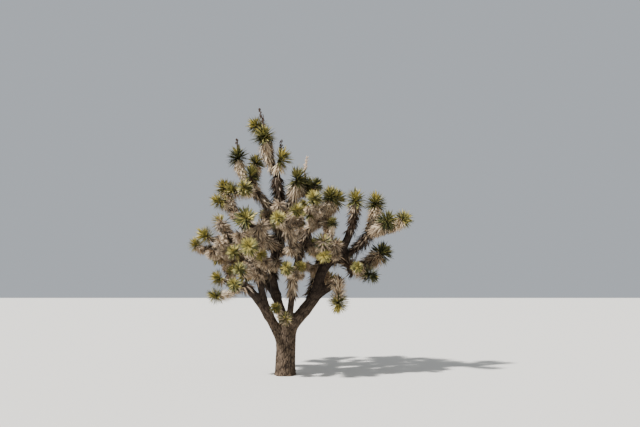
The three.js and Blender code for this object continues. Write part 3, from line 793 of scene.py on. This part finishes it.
def limb_shape(limb, wood, seed):
    """A limb's closed surface and how deep in a crack each point lies. Its radius is the taper, plus the web
    at its forks, less the depth of the cracks. The rows after its tip close in a dome: tip cos(a) wide and
    dome tip sin(a) further on."""
    length = limb.path.length
    tip = limb.radius_at(length)
    body = np.linspace(0, length, round(length / wood.grid))
    dome_steps = 15
    turn = np.linspace(0, math.pi / 2, dome_steps)[1:-1]
    dome = BOUGH_DOME if limb.parent else TRUNK_DOME
    along = np.concatenate([body, length + dome * tip * np.sin(turn)])
    taper = np.concatenate([limb.radius_at(body), tip * np.cos(turn)])
    girth = 2 * math.pi * limb.radius_at(length / 2)
    sides = round(girth / wood.grid)
    angle = np.arange(sides) / sides * 2 * math.pi
    wide = np.repeat(taper[:, None], sides, axis=1)
    if limb.parent is None:
        wide = wide * root_flare(along[:, None], angle)
    cells = round(girth / wood.plate_width)
    around = np.broadcast_to(np.arange(sides) / sides * cells, wide.shape)
    upwards = np.broadcast_to(along[:, None], wide.shape) / wood.plate_height
    fine = bark_cracks(FINE_AROUND * around, FINE_ALONG * upwards, FINE_AROUND * cells, seed + 1)
    coarse = bark_cracks(around, upwards + EDGE_SHIFT * fine, cells, seed)
    crack = np.clip((PLATE_DEPTH + DEEPENED * fine) * coarse + FINE_DEPTH * fine, 0, 1)
    depth = wood.crack_depth * np.clip(taper / (TRUNK_RADIUS[1] * MM), 0, 1)[:, None]
    web = fork_web(tube_rings(limb.path, along, wide, sides), limb, wood.web_reach)
    rings = tube_rings(limb.path, along, wide + web - depth * crack, sides)
    poles = [crack[0].mean(), crack[-1].mean()]
    return closed_tube(rings), np.concatenate([crack.ravel(), poles])


@dataclass
class Leaves:
    """Many leaves as arrays: where each is rooted, where its tip is, the side that its face turns to, and
    its place in the row of tints, from young to old."""

    root: np.ndarray
    tip: np.ndarray
    face: np.ndarray
    shade: np.ndarray

    def kept(self, chosen):
        return Leaves(self.root[chosen], self.tip[chosen], self.face[chosen], self.shade[chosen])


def gathered(groups):
    """Several groups of leaves as one."""
    rows = zip(*((group.root, group.tip, group.face, group.shade) for group in groups))
    return Leaves(*map(np.concatenate, rows))


def leaves_on(path, along, radius, angle, length, shade, chance, wander, droop=0):
    """Leaves on a path, each turned the golden angle further round it than the last. A leaf's tip lies its
    length away from the surface, at this angle to the path, and its root is sunk in the wood."""
    number = np.arange(len(along))
    turn = GOLDEN_ANGLE * number + wander * chance.standard_normal(len(along))
    angle = np.radians(angle) + wander * chance.standard_normal(len(along))
    centre, tangent, across = path.frames(along)
    outward = np.cos(turn)[:, None] * path.side + np.sin(turn)[:, None] * across
    heading = np.cos(angle)[:, None] * tangent + np.sin(angle)[:, None] * outward
    heading = unit(heading + droop * DOWN)
    root = centre + (ROOT_SHARE * radius)[:, None] * outward
    tip = centre + radius[:, None] * outward + length[:, None] * heading
    straight = unit(tip - root)
    face = unit(tangent - (tangent * straight).sum(-1)[:, None] * straight)
    return Leaves(root, tip, face, shade)


def within_reach(axes, own):
    """Those of these axes that a leaf of these stems could reach."""
    reach = 0.7
    middles = np.concatenate([axis.start for axis in own])[:, None]
    return [axis for axis in axes if np.linalg.norm(axis.start - middles, axis=-1).min() < reach]


def fitting(leaves, own, others):
    """The leaves that touch no limb, and stay nearer to their own stems than to any other."""
    share = np.array(LEAF_PROBES)[:, None, None]
    points = lerp(leaves.root, leaves.tip, share)
    fits = clearance(points, within_reach(LIMB_AXES, own)) > LEAF_CLEARANCE * MM
    near = within_reach(others, own)
    if near:
        fits &= clearance(points, near) > np.maximum(clearance(points, own), LEAF_CLEARANCE * MM)
    return leaves.kept(fits.all(0))


def blades(root, straight, face, length, width, bow, sections):
    """Pointed blades with three-sided sections, as points and triangles. The middle of a blade is
    root + length (t straight + bow t^2 face). Its edges lie half its width to each side, its keel below."""
    place, wide = np.array(sections, float).T
    across = np.cross(face, straight)
    bend = (bow[:, None] * place**2)[..., None] * face[:, None]
    middle = root[:, None] + length[:, None, None] * (place[:, None] * straight[:, None] + bend)
    half = (width[:, None] * wide / 2)[..., None]
    right, left = middle + half * across[:, None], middle - half * across[:, None]
    keel = middle - KEEL * half * face[:, None]
    tip = root + length[:, None] * (straight + bow[:, None] * face)
    corners = np.stack([right, left, keel], 2).reshape(len(root), -1, 3)
    points = np.concatenate([corners, tip[:, None]], 1)
    here = np.arange(3 * len(place)).reshape(-1, 3)
    beside = np.roll(here, -1, axis=1)
    one = np.concatenate([
        here[:1, ::-1],
        np.stack([here[:-1], beside[:-1], beside[1:]], -1).reshape(-1, 3),
        np.stack([here[:-1], beside[1:], here[1:]], -1).reshape(-1, 3),
        np.stack([here[-1], beside[-1], np.full(3, here.size)], -1),
    ])
    triangles = one + (here.size + 1) * np.arange(len(root))[:, None, None]
    return points.reshape(-1, 3), triangles.reshape(-1, 3)


def leaf_shape(leaves, width, bow, sections):
    """The blades of these leaves, as wide as their lengths ask for."""
    reach = leaves.tip - leaves.root
    length = np.linalg.norm(reach, axis=-1)
    usual = 0.19
    return blades(leaves.root, unit(reach), leaves.face, length, width * length / usual, bow, sections)


def add(tree, kind, inputs, **settings):
    """A node of this kind with its settings. An input is a plain value, or the output that feeds it."""
    node = tree.nodes.new("ShaderNode" + kind)
    for name, value in settings.items():
        setattr(node, name, value)
    for name, value in inputs.items():
        if isinstance(value, bpy.types.NodeSocket):
            tree.links.new(value, node.inputs[name])
        else:
            node.inputs[name].default_value = value
    return node


# The sockets of a colour Mix node, whose names each stand for several kinds of value.
MIX_FACTOR, MIX_FIRST, MIX_SECOND, MIX_RESULT = 0, 6, 7, 2


def mixed(tree, factor, first, second):
    """The output of a node that mixes two colours."""
    inputs = {MIX_FACTOR: factor, MIX_FIRST: first, MIX_SECOND: second}
    return add(tree, "Mix", inputs, data_type="RGBA").outputs[MIX_RESULT]


def new_material(name):
    """An empty material, its nodes, and the place on the object in metres."""
    made = bpy.data.materials.new(name)
    made.use_nodes = True
    tree = made.node_tree
    tree.nodes.clear()
    return made, tree, add(tree, "TexCoord", {}).outputs["Object"]


def finished(tree, shader):
    """Feeds the surface from this shader."""
    add(tree, "OutputMaterial", {"Surface": shader.outputs[0]})


# Corky bark, matt and dry: pale weathered ridges and brown stains a hand wide. The cracks are painted
# nearly black by their depth, which is painted shade in them. The old wood of the trunk is the greyest, and
# from 0.9 to 1.6 m up it passes into the darker brown of the boughs, which is partly their browner cork and
# partly painted shade of the crown over them.
def cork(name, wood):
    made, tree, place = new_material(name)
    height = add(tree, "SeparateXYZ", {"Vector": place}).outputs["Z"]
    # From 0.9 to 1.6 m up, the cork passes into the boughs' darker colours, which are partly painted shade
    # of the crown.
    bough_and_shade_share = add(tree, "MapRange", {"Value": height, "From Min": 0.9, "From Max": 1.6})
    ridge = mixed(tree, bough_and_shade_share.outputs[0], wood.ridge, wood.bough_ridge)
    stain = mixed(tree, bough_and_shade_share.outputs[0], wood.stain, wood.bough_stain)
    stains = add(tree, "TexNoise", {"Vector": place, "Scale": 9.0, "Detail": 4.0})
    grain = add(tree, "TexNoise", {"Vector": place, "Scale": 160.0, "Detail": 3.0})
    crack = add(tree, "Attribute", {}, attribute_name="crack")
    patch = add(tree, "MapRange", {"Value": stains.outputs[0], "From Min": 0.4, "From Max": 0.62})
    speck = add(tree, "MapRange", {
        "Value": grain.outputs[0], "From Min": 0.35, "From Max": 0.75, "To Max": 0.45,
    })
    surface = mixed(tree, patch.outputs[0], ridge, stain)
    surface = mixed(tree, speck.outputs[0], surface, stain)
    # Painted shade: the deeper a point lies in a crack, the nearer its colour comes to the near-black crack
    # floor.
    surface = mixed(tree, crack.outputs["Fac"], surface, wood.crevice)
    bump = add(tree, "Bump", {"Height": grain.outputs[0], "Strength": 0.5, "Distance": 2 * MM})
    shader = add(tree, "BsdfPrincipled", {
        "Base Color": surface, "Roughness": 0.92, "IOR": 1.4, "Specular IOR Level": 0.25,
        "Normal": bump.outputs[0],
    })
    finished(tree, shader)
    return made


def fibrous(name, tone, noise, shares, relief, finish):
    """A material whose fibres are darker and paler than its tone, by these shares, and slightly raised."""
    made, tree, place = new_material(name)
    fibres = add(tree, "TexNoise", {"Vector": place, **noise})
    dark, pale = (tuple(min(1, share * level) for level in tone[:3]) + (1,) for share in shares)
    surface = mixed(tree, fibres.outputs[0], dark, pale)
    bump = add(tree, "Bump", {"Height": fibres.outputs[0], "Strength": relief, "Distance": MM})
    inputs = {"Base Color": surface, "IOR": 1.4, "Normal": bump.outputs[0], **finish}
    finished(tree, add(tree, "BsdfPrincipled", inputs))
    return made


# A living leaf, stiff and waxy: a soft gloss over its green, with paler and darker streaks.
def waxy_leaf(name, green):
    return fibrous(name, green, {"Scale": 55.0, "Detail": 2.0}, (0.68, 1.35), 0.2, {"Roughness": 0.6})


# A dead leaf, fibrous and matt: bleached fibres with brown between them.
def dead_leaf(name, tone):
    finish = {"Roughness": 0.8, "Specular IOR Level": 0.3}
    return fibrous(name, tone, {"Scale": 70.0, "Detail": 4.0}, (0.55, 1.3), 0.3, finish)


class BuildLimbs(bpy.types.Operator):
    """Build the trunk and the boughs, with their cracks and the webs at their forks"""

    bl_idname = "joshua_tree.limbs"
    bl_label = "Trunk and boughs"

    def execute(self, context):
        wood = context.scene.joshua_wood
        material = cork("cork", wood)
        for number, limb in enumerate(LIMB.values()):
            shape, crack = limb_shape(limb, wood, seed=2 * number)
            # The crack depth rides on the points, where the cork paints the shade of the cracks.
            piece(limb.name + "_bark", shape, material, "bark", [limb.name], smooth_faces=True, crack=crack)
        return {"FINISHED"}


class BuildStems(bpy.types.Operator):
    """Build the stems that carry the leaves"""

    bl_idname = "joshua_tree.stems"
    bl_label = "Stems"

    def execute(self, context):
        wood = context.scene.joshua_wood
        rows, sides = 16, 10
        shapes = []
        for stem in STEMS:
            along = np.linspace(0, stem.path.length, rows)
            core = CORE_SHARE * stem.surface_radius(along)
            shapes.append(closed_tube(tube_rings(stem.path, along, core, sides)))
        material = cork("stem_cork", wood)
        piece("stems_bark", joined(shapes), material, "bark", smooth_faces=True)
        return {"FINISHED"}


def tinted(prefix, leaves, bow, sections, tints, settings, material, nodes=()):
    """A piece for each tint, of the leaves whose shade belongs to it. The nodes that these pieces stand for
    are dealt out among them."""
    lowest = -math.inf
    for number, (tint, highest) in enumerate(tints):
        chosen = (leaves.shade > lowest) & (leaves.shade <= highest)
        shape = leaf_shape(leaves.kept(chosen), settings.width, bow[chosen], sections)
        finish = material(f"{material.__name__}_{tint}", getattr(settings, tint))
        piece(prefix + tint, shape, finish, "foliage", nodes[number::len(tints)])
        lowest = highest


def fitted_masses(grown_on):
    """For each mass the leaves that grown_on gives its stems by seeded chance, as far as they fit."""
    for index, mass in enumerate(MASSES):
        own = [stem for stem in STEMS if stem.mass == mass]
        others = [stem.axis for stem in STEMS if stem.mass != mass]
        grown = grown_on(own, np.random.default_rng(MASS_SEED + index))
        yield fitting(gathered(grown), [stem.axis for stem in own], others)


def rosette_leaves(stem, settings, chance, droop=0):
    """The leaves of a rosette. Their angles are spaced so that the tips cover it evenly: cos(angle) falls in
    even steps. A leaf's age follows from its angle, and its place on the stem from its age."""
    youngest, oldest = np.radians(GREEN_ANGLE)
    steps = (np.arange(settings.per_rosette) + 0.5) / settings.per_rosette
    angle = np.arccos(lerp(math.cos(youngest), math.cos(oldest), steps))
    age = (angle - youngest) / (oldest - youngest)
    back = lerp(HEAD_BACK[0], GREEN_UNTIL, age)
    radius = stem.leaf * np.interp(back, HEAD_BACK, HEAD_RADIUS)
    uneven = 1 + settings.uneven * chance.uniform(-1, 1, len(age))
    length = stem.leaf * lerp(*GREEN_LENGTH, np.clip(2 * age, 0, 1)) * uneven
    # The stem's tone shifts the whole rosette's tints: painted shade where the rosette stands in the crown's
    # shade.
    tone = FIRST_SHADE + stem.tone + ROSETTE_CHANCE * chance.standard_normal()
    shade = tone + DARKENING * age + GREEN_CHANCE * chance.standard_normal(len(age))
    along = stem.path.length - back * stem.leaf
    angle = np.degrees(angle)
    return leaves_on(stem.path, along, radius, angle, length, shade, chance, settings.wander, droop)


def green_leaves(stem, settings, chance):
    """The leaves of a rosette that are still alive."""
    leaves = rosette_leaves(stem, settings, chance)
    return leaves.kept(chance.random(len(leaves.root)) >= stem.faded)


class BuildGreenLeaves(bpy.types.Operator):
    """Grow the rosettes of living leaves, in four tints from the heart outwards, and their spines"""

    bl_idname = "joshua_tree.green_leaves"
    bl_label = "Green leaves"

    def execute(self, context):
        settings = context.scene.joshua_leaves

        def grown_on(stems, chance):
            return [green_leaves(stem, settings, chance) for stem in stems]

        leaves = gathered(fitted_masses(grown_on))
        bow = np.random.default_rng(MASS_SEED).normal(*GREEN_BOW, len(leaves.root))
        nodes = [mass + "_mass" for mass in MASSES]
        tinted("leaves_", leaves, bow, GREEN_SECTIONS, GREEN_TINTS, settings, waxy_leaf, nodes)
        spine_from, spine_length = 0.93, 0.1
        reach = leaves.tip - leaves.root
        length = np.linalg.norm(reach, axis=-1)
        bent = reach + (bow * length)[:, None] * leaves.face
        root = leaves.root + spine_from * reach + (bow * length * spine_from**2)[:, None] * leaves.face
        straight = unit(leaves.root + bent - root)
        wide, flat = np.full(len(length), settings.spine_width), np.zeros(len(length))
        shape = blades(root, straight, leaves.face, spine_length * length, wide, flat, SPINE_SECTIONS)
        piece("leaf_spines", shape, dead_leaf("hard_spine", settings.spine), "foliage")
        return {"FINISHED"}


def dead_leaves(stem, settings, chance):
    """The sleeve of dead leaves under a rosette, evenly spaced down to the stem's foot."""
    until = stem.path.length - DEAD_BACK[0] * stem.leaf
    number = round(settings.per_metre * until)
    along = until * (np.arange(number) + 0.5) / number
    back = (stem.path.length - along) / stem.leaf
    angle = np.interp(back, DEAD_BACK, DEAD_ANGLE) - stem.shag + DEAD_FULLNESS * chance.uniform(-1, 1)
    length = stem.leaf * np.interp(back, DEAD_BACK, DEAD_LENGTH) * chance.uniform(*DEAD_UNEVEN, number)
    shade = stem.ageing * back + SLEEVE_CHANCE * chance.standard_normal()
    shade = shade + DEAD_CHANCE * chance.standard_normal(number)
    radius = SLEEVE_SHARE * stem.surface_radius(along)
    return leaves_on(stem.path, along, radius, angle, length, shade, chance, settings.wander, settings.droop)


def faded_leaves(stem, living, settings, chance):
    """The leaves of a rosette that have died and hang down, in some rosettes only half as limply."""
    leaves = rosette_leaves(stem, living, chance, droop=settings.limp * chance.uniform(0.5, 1))
    tone = FIRST_SHADE + DARKENING * stem.faded + stem.tone
    leaves.shade = tone + DEAD_CHANCE * chance.standard_normal(len(leaves.shade))
    return leaves.kept(chance.random(len(leaves.root)) < stem.faded)


def coat_leaves(limb, settings, chance):
    """The old leaves that still cover the outer part of a bough, lying close along it. Where the coat starts
    half of them have fallen, and at the bough's tip none."""
    stretch = (1 - limb.clad) * limb.path.length
    number = round(settings.coat_per_metre * stretch)
    share = (np.arange(number) + 0.5) / max(number, 1)
    along = limb.clad * limb.path.length + stretch * share
    left = chance.random(number) < lerp(0.5, 1, share)
    length = settings.coat_length * chance.uniform(*COAT_UNEVEN, number)
    shade = limb.age + COAT_CHANCE * chance.standard_normal(number)
    angle = np.full(number, COAT_ANGLE - limb.shag)
    radius, wander, droop = limb.radius_at(along), settings.wander, settings.droop
    return leaves_on(limb.path, along, radius, angle, length, shade, chance, wander, droop).kept(left)


class BuildDeadLeaves(bpy.types.Operator):
    """Hang the sleeves of dead leaves on the stems and the old coat on the boughs, in four tints"""

    bl_idname = "joshua_tree.dead_leaves"
    bl_label = "Dead leaves"

    def execute(self, context):
        settings = context.scene.joshua_dead_leaves
        living = context.scene.joshua_leaves

        def grown_on(stems, chance):
            sleeves = [dead_leaves(stem, settings, chance) for stem in stems]
            return sleeves + [faded_leaves(stem, living, settings, chance) for stem in stems if stem.faded]

        chance = np.random.default_rng(MASS_SEED)
        coats = [coat_leaves(limb, settings, chance) for limb in LIMB.values() if limb.clad < 1]
        leaves = gathered([*fitted_masses(grown_on), *coats])
        bow = chance.normal(*DEAD_BOW, len(leaves.root))
        tinted("dead_leaves_", leaves, bow, DEAD_SECTIONS, DEAD_TINTS, settings, dead_leaf)
        return {"FINISHED"}


# An old flower stalk sways from its straight line by this share of its height, and has lost this share of
# its radius at its top. It has a branchlet for each so many millimetres, between these shares of its
# height. A branchlet at the top is this share as long as one at the foot, it rises by so much for each
# length outwards and arches by this share of its length, and its radius is in millimetres, at its foot and
# its end. A seed pod is rounded, with ends no narrower than the root of this share of its middle.
STALK_SWAY, STALK_TAPER = 0.03, 0.75
BRANCHLET_FOR_EACH, BRANCHLET_AT = 15, (0.42, 0.97)
BRANCHLET_AT_TOP, BRANCHLET_RISE, BRANCHLET_ARCH = 0.35, 0.7, 0.1
BRANCHLET_RADIUS = (3.2, 2.2)
POD_END = 0.02


def stalk_shapes(stem, settings, chance):
    """An old flower stalk as shapes: a bent stem that narrows upwards, with side branchlets that get shorter
    upwards, each with a seed pod at its end."""
    top = stem.heart + millimetres(stem.stalk)
    height = np.linalg.norm(top - stem.heart)
    bow = STALK_SWAY * height * np.append(chance.standard_normal(2), 0)
    path = bowed_path(stem.heart, top, bow)
    along = np.linspace(0, path.length, 14)
    radius = settings.radius * (1 - STALK_TAPER * along / path.length)
    shapes = [closed_tube(tube_rings(path, along, radius, 7))]
    for number in range(round(height / (BRANCHLET_FOR_EACH * MM))):
        share = lerp(*BRANCHLET_AT, chance.random())
        centre, tangent, across = (row[0] for row in path.frames(np.array([share * path.length])))
        turn = GOLDEN_ANGLE * number
        outward = math.cos(turn) * path.side + math.sin(turn) * across
        reach = settings.branchlet * lerp(1, BRANCHLET_AT_TOP, share) * chance.uniform(0.5, 1)
        end = centre + reach * unit(outward + BRANCHLET_RISE * tangent)
        twig = bowed_path(centre, end, -BRANCHLET_ARCH * reach * DOWN)
        steps = np.linspace(0, twig.length, 4)
        shapes.append(closed_tube(tube_rings(twig, steps, np.linspace(*BRANCHLET_RADIUS, 4) * MM, 5)))
        pod = Path(end, end + settings.pod_length / 2 * tangent, end + settings.pod_length * tangent)
        steps = np.linspace(0, pod.length, 6)
        roundness = np.sqrt(np.clip(1 - (2 * steps / pod.length - 1) ** 2, POD_END, 1))
        shapes.append(closed_tube(tube_rings(pod, steps, settings.pod_length / 4 * roundness, 6)))
    return shapes


class BuildStalks(bpy.types.Operator):
    """Stand the old flower stalks on their rosettes, the tallest of the right-hand crown still pale"""

    bl_idname = "joshua_tree.stalks"
    bl_label = "Flower stalks"

    def execute(self, context):
        settings = context.scene.joshua_stalks
        chance = np.random.default_rng(MASS_SEED)
        for tone, pale in (("pale", True), ("weathered", False)):
            shapes = []
            for stem in STEMS:
                if stem.stalk and (stem.mass == "crown_right") == pale:
                    shapes.extend(stalk_shapes(stem, settings, chance))
            material = dead_leaf("dried_stalk_" + tone, settings.fresh if pale else settings.weathered)
            piece("flower_stalks_" + tone, joined(shapes), material, "foliage")
        return {"FINISHED"}


# The even light's strength. The sun and the faint light opposite it: where each shines to, how strongly,
# and how wide it is in the sky, in degrees.
SKY_STRENGTH = 0.62
KEY_LIGHT = ((0.66, 0.36, -0.86), 9.0, 3)
FILL_LIGHT = ((-0.6, 0.5, -0.35), 0.1, 60)


def sun(name, direction, strength, spread):
    """A light from far away that shines along this direction."""
    data = bpy.data.lights.new(name, "SUN")
    data.energy = strength
    data.angle = math.radians(spread)
    made = bpy.data.objects.new(name, data)
    made.rotation_euler = Vector(direction).to_track_quat("-Z", "Y").to_euler()
    bpy.context.scene.collection.objects.link(made)


class BuildStage(bpy.types.Operator):
    """Lay the floor, and set the light and the camera"""

    bl_idname = "joshua_tree.stage"
    bl_label = "Stage"

    def execute(self, context):
        settings = context.scene.joshua_stage
        half = settings.floor_size / 2
        mesh = bpy.data.meshes.new("floor")
        corners = [(-half, -half, 0), (half, -half, 0), (half, half, 0), (-half, half, 0)]
        mesh.from_pydata(corners, [], [(0, 1, 2, 3)])
        material, tree, _ = new_material("matt_floor")
        finished(tree, add(tree, "BsdfPrincipled", {"Base Color": settings.floor, "Roughness": 0.9}))
        mesh.materials.append(material)
        floor = bpy.data.objects.new("floor", mesh)
        context.scene.collection.objects.link(floor)
        floor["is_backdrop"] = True

        world = bpy.data.worlds.new("surround")
        context.scene.world = world
        world.use_nodes = True
        background = world.node_tree.nodes["Background"]
        background.inputs["Color"].default_value = settings.sky
        background.inputs["Strength"].default_value = SKY_STRENGTH
        sun("key_light", *KEY_LIGHT)
        sun("fill_light", *FILL_LIGHT)

        camera = bpy.data.objects.new("camera", bpy.data.cameras.new("camera"))
        camera.data.lens = 35
        camera.data.sensor_width = 36
        camera.location = settings.sideways, -settings.distance, settings.eye_height
        camera.rotation_euler = math.pi / 2 + settings.pitch, 0, 0
        context.scene.collection.objects.link(camera)
        context.scene.camera = camera
        return {"FINISHED"}


OPERATORS = (BuildLimbs, BuildStems, BuildGreenLeaves, BuildDeadLeaves, BuildStalks, BuildStage)
SETTINGS = {
    "joshua_wood": WoodSettings,
    "joshua_leaves": LeafSettings,
    "joshua_dead_leaves": DeadLeafSettings,
    "joshua_stalks": StalkSettings,
    "joshua_stage": StageSettings,
}


class TreePanel(bpy.types.Panel):
    """The tree's settings and its pieces in the sidebar"""

    bl_idname = "VIEW3D_PT_joshua_tree"
    bl_label = "Joshua tree"
    bl_space_type = "VIEW_3D"
    bl_region_type = "UI"
    bl_category = "Joshua tree"

    def draw(self, context):
        for key, group in SETTINGS.items():
            box = self.layout.box()
            for name in group.__annotations__:
                box.prop(getattr(context.scene, key), name)
        for operator in OPERATORS:
            self.layout.operator(operator.bl_idname)


CLASSES = (*SETTINGS.values(), *OPERATORS, TreePanel)


def register():
    for made in CLASSES:
        bpy.utils.register_class(made)
    for key, group in SETTINGS.items():
        setattr(bpy.types.Scene, key, PointerProperty(type=group))


def unregister():
    for key in SETTINGS:
        delattr(bpy.types.Scene, key)
    for made in reversed(CLASSES):
        bpy.utils.unregister_class(made)


def main():
    register()
    for operator in OPERATORS:
        group, name = operator.bl_idname.split(".")
        getattr(getattr(bpy.ops, group), name)()
    boxes = {"cad": CAD_BOX, "visual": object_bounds()}
    {key: [list(corner) for corner in corners] for key, corners in boxes.items()}


if __name__ == "__main__":
    main()
